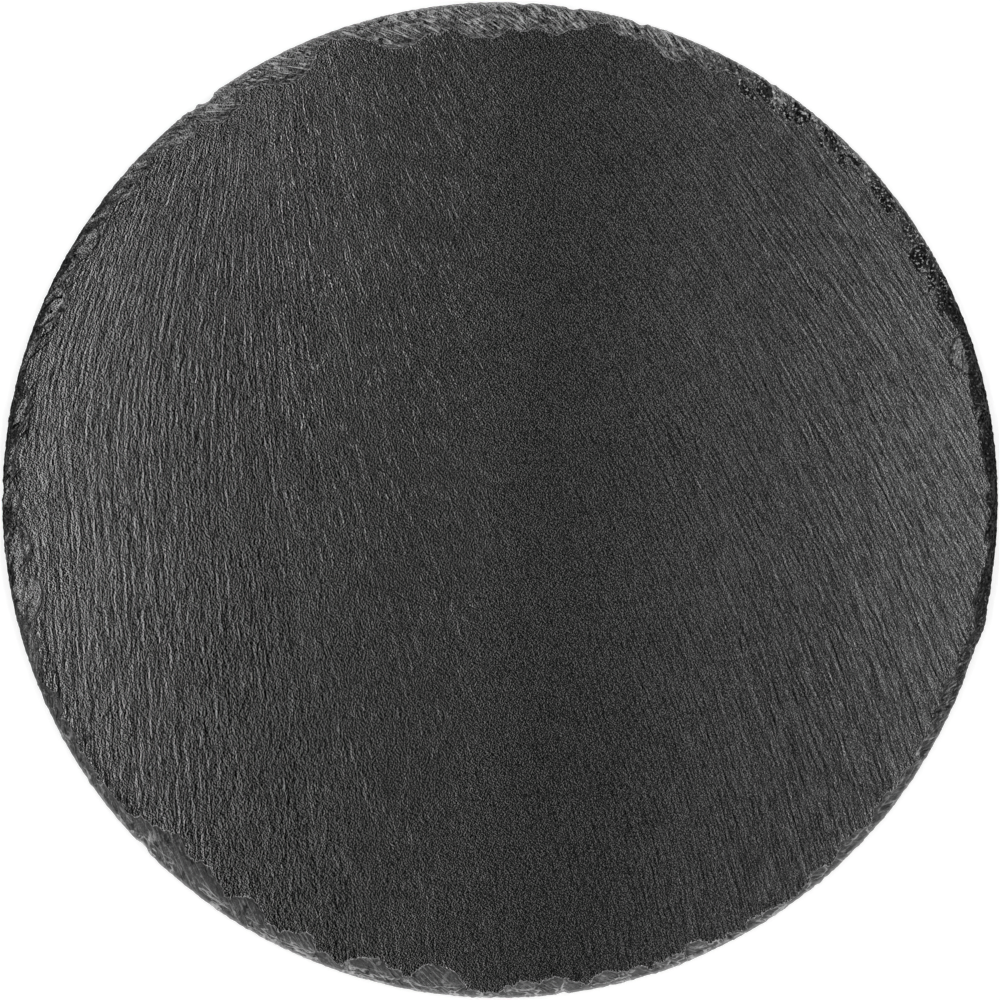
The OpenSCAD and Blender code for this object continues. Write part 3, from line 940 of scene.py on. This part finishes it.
def brokenRim(net, at, chiselled):
    # pale laminae at the back, shaded flanks, and a smooth break in front
    look, zone = slateValues()
    bandEdge = net.plus(net.times(at.jag, look.bandJag),
                        net.times(net.centred(at.plates["Make"]), look.bandStep))
    # the dark bands on both flanks are painted shade
    leftBand = net.ramp(net.plus(at.inset, bandEdge), look.flankWidth, look.flankWidth * look.flankFade)
    rightBand = net.ramp(net.plus(at.level, net.times(at.jag, look.levelJag)), *zone.rightBand)
    shaded = net.mix(net.ramp(at.outX, *zone.middle), net.most(leftBand, at.crevice),
                     net.most(rightBand, at.darkSide))
    flank = net.mix(shaded, look.plateBreak, look.darkBreak)
    frontLeft = net.times(net.ramp(at.outX, *zone.frontLeftX), net.ramp(at.outY, *zone.frontLeftY))
    ends = net.times(net.mix(at.layered, look.smoothBreak, look.lightBreak),
                     net.mix(frontLeft, 1.0, look.frontLeft))
    # painted shade in pockets of the break
    pocket = net.times(net.ramp(at.wideBreak["Depth"], *zone.pocket),
                       net.mix(at.lit, look.sidePocket, look.endPocket), at.layered)
    outside = net.rest(net.most(pocket, at.hollow))
    tone = net.times(net.mix(at.facing, flank, ends), chiselled,
                     net.ramp(at.grit, *zone.grit, look.leastGrit, look.mostGrit), outside)

    part = net.math("FRACT", net.plus(at.level, net.times(at.jag, look.jag * 2)))
    window = net.mix(at.plate, look.stepWindow, look.plateWindow)
    rimPlace = net.combine(net.times(at.outX, stoneRadius), net.times(at.outY, stoneRadius),
                           net.times(net.plus(at.radius, at.pz), look.ridgeRise))
    ridges = net.noise(rimPlace, look.ridgeSize, *grains.ridged, look.ridgeTwist)
    # painted glints: bright specks added to the colour of the break
    glitter = net.noise(at.place, look.glitterSize, *grains.plain)
    speckled = net.most(at.rugged, net.times(net.most(at.leftSide, at.layered), look.layerGlitter))
    # painted highlight on the outer brink where it faces the light
    brink = net.times(net.ramp(at.inset, *zone.brink), at.facing)
    # painted shade in the gaps between the laminae
    gap = net.ramp(net.over(net.size(net.minus(part, look.gapPart)), window), *zone.gap)
    unshaded = net.rest(net.times(gap, at.layered, net.mix(at.lit, look.sideGap, look.endGap)))
    tone = net.plus(tone, paleLines(net, at, part, window, ridges),
                    net.times(net.ramp(glitter, *zone.glitter, 0.0, look.glitter), speckled),
                    net.times(brink, look.brink))

    height = net.times(net.ramp(part, *zone.tread), at.layered, -look.laminaBump)
    gritty = net.times(look.grit, net.ramp(at.layered, *zone.gritRelief, look.frontGrit, 1.0))
    height = net.plus(height, net.times(at.grit, gritty), net.times(ridges, look.ridge))
    # the break's mica gleam is dimmed by the painted shade of flanks, pockets, hollows and gaps
    mica = net.mix(at.facing, net.mix(shaded, look.plateMica, look.darkMica), look.breakMica)
    powdery = net.times(at.facing, net.times(at.layered, look.powder))
    mica = net.times(mica, net.rest(powdery), outside, unshaded, net.least(chiselled, look.mostMica))
    return net.times(tone, unshaded), mica, height


def slateMaterial(streaks, fracture, platework):
    material, net = newMaterial("rivenSlate")
    look, zone = slateValues()
    at = slatePlaces(net)
    tone, fine, faceHeight = rivenFace(net, at, streaks)
    breakPieces(net, at, fracture, platework)
    breakTone, breakMica, breakHeight = brokenRim(net, at, chiselledTone(net, at, fine))
    # painted shade in the left crevices, and the face lighter near the left rim
    tone = net.times(tone, net.rest(net.times(at.crevice, look.creviceDark)),
                     net.ramp(at.nearRim, 0.0, 1.0, 1.0, look.rimLift))
    faceMica = net.times(net.math("POWER", tone, look.micaPower), look.mica)

    # the body of the stone is dull, and its mica adds a faint metal gleam; both carry the painted shading,
    # sheen and glints of the tone
    ragged = net.plus(at.broken, at.jag)
    mask = net.ramp(ragged, *zone.brokenEdge)
    # painted highlight along the scarp at the edge of the break where it faces the light, painted shadow
    # there where it faces away
    scarp = net.times(net.ramp(net.size(net.centred(ragged)),
                               look.scarpWidth, look.scarpWidth * look.scarpFade),
                      net.ramp(net.noise(at.place, look.scarpSize, *grains.rolling), *zone.scarp))
    whole = net.rest(net.times(scarp, net.rest(at.lit), look.cleft))
    body = net.mix(mask, net.times(tone, look.faceTone), breakTone)
    body = net.times(net.plus(body, net.times(scarp, at.lit, look.scarp)), whole)
    mica = net.times(net.mix(mask, faceMica, breakMica), whole)
    colour = net.plus(body, mica)
    roughness = net.mix(mask, look.roughness, net.mix(at.plate, look.stepRough, look.plateRough))
    addSurface(net, [colour] * 3, roughness, net.mix(mask, faceHeight, breakHeight),
               Metallic=net.over(mica, colour), **{"Specular IOR Level": look.gloss})
    return material


speckLook = {"toneZone": (0.25, 0.75), "roughZone": (0.2, 0.8), "roughRange": 0.06}
footLook = {**speckLook, "tone": 0.018, "variation": 0.25, "roughness": 0.62, "bump": 0.00004,
            "speckSize": 0.0005, "tintShares": (1.0, 1.0, 1.0)}
filmLook = {**speckLook, "tone": 0.55, "variation": 0.08, "roughness": 0.4, "bump": 0.00001,
            "speckSize": 0.0012, "tintShares": (1.0, 0.99, 0.95)}


def plainMaterial(name, specks, values):
    look = SimpleNamespace(**values)
    material, net = newMaterial(name)
    place = net.add("ShaderNodeTexCoord").outputs["Object"]
    speck = net.group(specks, {"Vector": place, "Size": look.speckSize})["Speck"]
    dark, light = look.tone * (1 - look.variation), look.tone * (1 + look.variation)
    tone = net.ramp(speck, *look.toneZone, dark, light)
    low, high = look.roughness - look.roughRange, look.roughness + look.roughRange
    addSurface(net, [net.times(tone, share) for share in look.tintShares],
               net.ramp(speck, *look.roughZone, low, high), net.times(speck, look.bump))
    return material


specks = speckGroup()
slate = slateMaterial(streakGroup(), fractureGroup(), plateGroup())
rubber = plainMaterial("footRubber", specks, footLook)
film = plainMaterial("adhesiveFilm", specks, filmLook)

blank = bpy.data.objects.new("slateBlank", buildSlateNet())
scene.collection.objects.link(blank)
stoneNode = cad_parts["slate_disc"]
relief = reliefTree()
stone = bpy.data.objects.new("slate_stone", baked(blank, relief, {"Stone": stoneNode, "Slate": slate,
                                                                  **slateRelief}))
scene.collection.objects.link(stone)
bpy.data.objects.remove(blank)
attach(stone, "root")
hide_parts("slate_disc")
triangles = sum(len(p.vertices) - 2 for p in stone.data.polygons)
print("slate stone:", len(stone.data.vertices), "points,", triangles, "triangles")

for name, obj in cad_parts.items():
    if name.startswith("foot") or name.startswith("adhesive"):
        obj.data.materials.clear()
        obj.data.materials.append(rubber if name.startswith("foot") else film)
print("feet and adhesive finished")


# floor, light and camera

studio = {
    "floorHalf": 6.0, "floorDown": 0.0002, "floorTone": 0.55,
    "floorLift": 0.55,          # added for what looks at the floor, which is white and keeps its shadow
    "ambient": 0.07, "backdropTop": 0.3,
    "stripAway": 0.37, "stripUp": 0.75, "stripWidth": 0.12, "stripLength": 2.2, "stripGlow": 6.5,
    "stripLean": 1.3,           # degrees by which the strips close in towards the back
    "panelAway": 0.9, "panelUp": 0.42, "panelWidth": 1.2, "panelHeight": 0.45, "panelGlow": 2.5,
}


def buildFloor():
    half, z = studio["floorHalf"], -studio["floorDown"]
    mesh = bpy.data.meshes.new("studioFloor")
    mesh.from_pydata([(-half, -half, z), (half, -half, z), (half, half, z), (-half, half, z)], [],
                     [(0, 1, 2, 3)])
    floor = bpy.data.objects.new("studioFloor", mesh)
    scene.collection.objects.link(floor)
    material, net = newMaterial("paleFloor")
    tone = studio["floorTone"]
    paint = net.make("ShaderNodeBsdfDiffuse", {"Color": (tone, tone, tone, 1.0)})
    path = net.add("ShaderNodeLightPath").outputs
    seen = net.most(path["Is Camera Ray"], path["Is Transmission Ray"], path["Is Glossy Ray"])
    lift = net.make("ShaderNodeEmission", {"Strength": net.times(seen, studio["floorLift"])})
    both = net.make("ShaderNodeAddShader", {0: paint, 1: lift})
    below = net.add("ShaderNodeNewGeometry").outputs["Backfacing"]
    clear = net.make("ShaderNodeBsdfTransparent")
    seen = net.make("ShaderNodeMixShader", {0: below, 1: both, 2: clear})
    net.add("ShaderNodeOutputMaterial", {"Surface": seen})
    mesh.materials.append(material)


def buildWorld():
    world = bpy.data.worlds.new("studioWorld")
    world.use_nodes = True
    world.node_tree.nodes.clear()
    net = Net(world.node_tree)
    path = net.add("ShaderNodeLightPath").outputs
    seen = net.most(path["Is Camera Ray"], path["Is Transmission Ray"])
    height = net.split(net.add("ShaderNodeTexCoord").outputs["Generated"])[2]
    backdrop = net.ramp(height, studio["backdropTop"], 0.0)      # gloss shows it, and the dark above it
    seen = net.most(seen, net.times(path["Is Glossy Ray"], backdrop))
    strength = net.mix(seen, studio["ambient"], 1.0)
    sky = net.make("ShaderNodeBackground", {"Color": (1.0, 1.0, 1.0, 1.0), "Strength": strength})
    net.add("ShaderNodeOutputWorld", {"Surface": sky})
    scene.world = world


def addLight(name, place, target, width, height, glow):
    lamp = bpy.data.lights.new(name, "AREA")
    lamp.shape = "RECTANGLE"
    lamp.size, lamp.size_y = width, height
    lamp.energy = glow * math.pi * width * height
    obj = bpy.data.objects.new(name, lamp)
    obj.location = place
    aim = Vector(target) - Vector(place)
    obj.rotation_euler = aim.to_track_quat("-Z", "Y").to_euler()
    obj.visible_camera = False
    scene.collection.objects.link(obj)
    return obj


def buildLights():
    s = studio
    for name, side in (("stripLeft", -1), ("stripRight", 1)):
        place = (side * s["stripAway"], 0, s["stripUp"])
        strip = addLight(name, place, (0, 0, 0), s["stripLength"], s["stripWidth"], s["stripGlow"])
        strip.rotation_euler.z += side * math.radians(s["stripLean"])
    for name, side in (("panelFront", -1), ("panelBack", 1)):
        place = (0, side * s["panelAway"], s["panelUp"])
        addLight(name, place, (0, 0, 0), s["panelWidth"], s["panelHeight"], s["panelGlow"])


camera = {"distance": 0.75, "discShare": 0.9966, "sensor": 36.0, "near": 0.05, "far": 50}


def buildCamera():
    data = bpy.data.cameras.new("studioCamera")
    data.sensor_width = camera["sensor"]
    halfWidth = stoneRadius / camera["discShare"]
    data.lens = camera["sensor"] / 2 * camera["distance"] / halfWidth
    data.clip_start, data.clip_end = camera["near"], camera["far"]
    obj = bpy.data.objects.new("studioCamera", data)
    obj.location = (0, 0, stoneLow.z + camera["distance"])
    scene.collection.objects.link(obj)
    scene.camera = obj


buildFloor()
buildWorld()
buildLights()
buildCamera()
scene.view_settings.view_transform = "Standard"
print("studio ready")
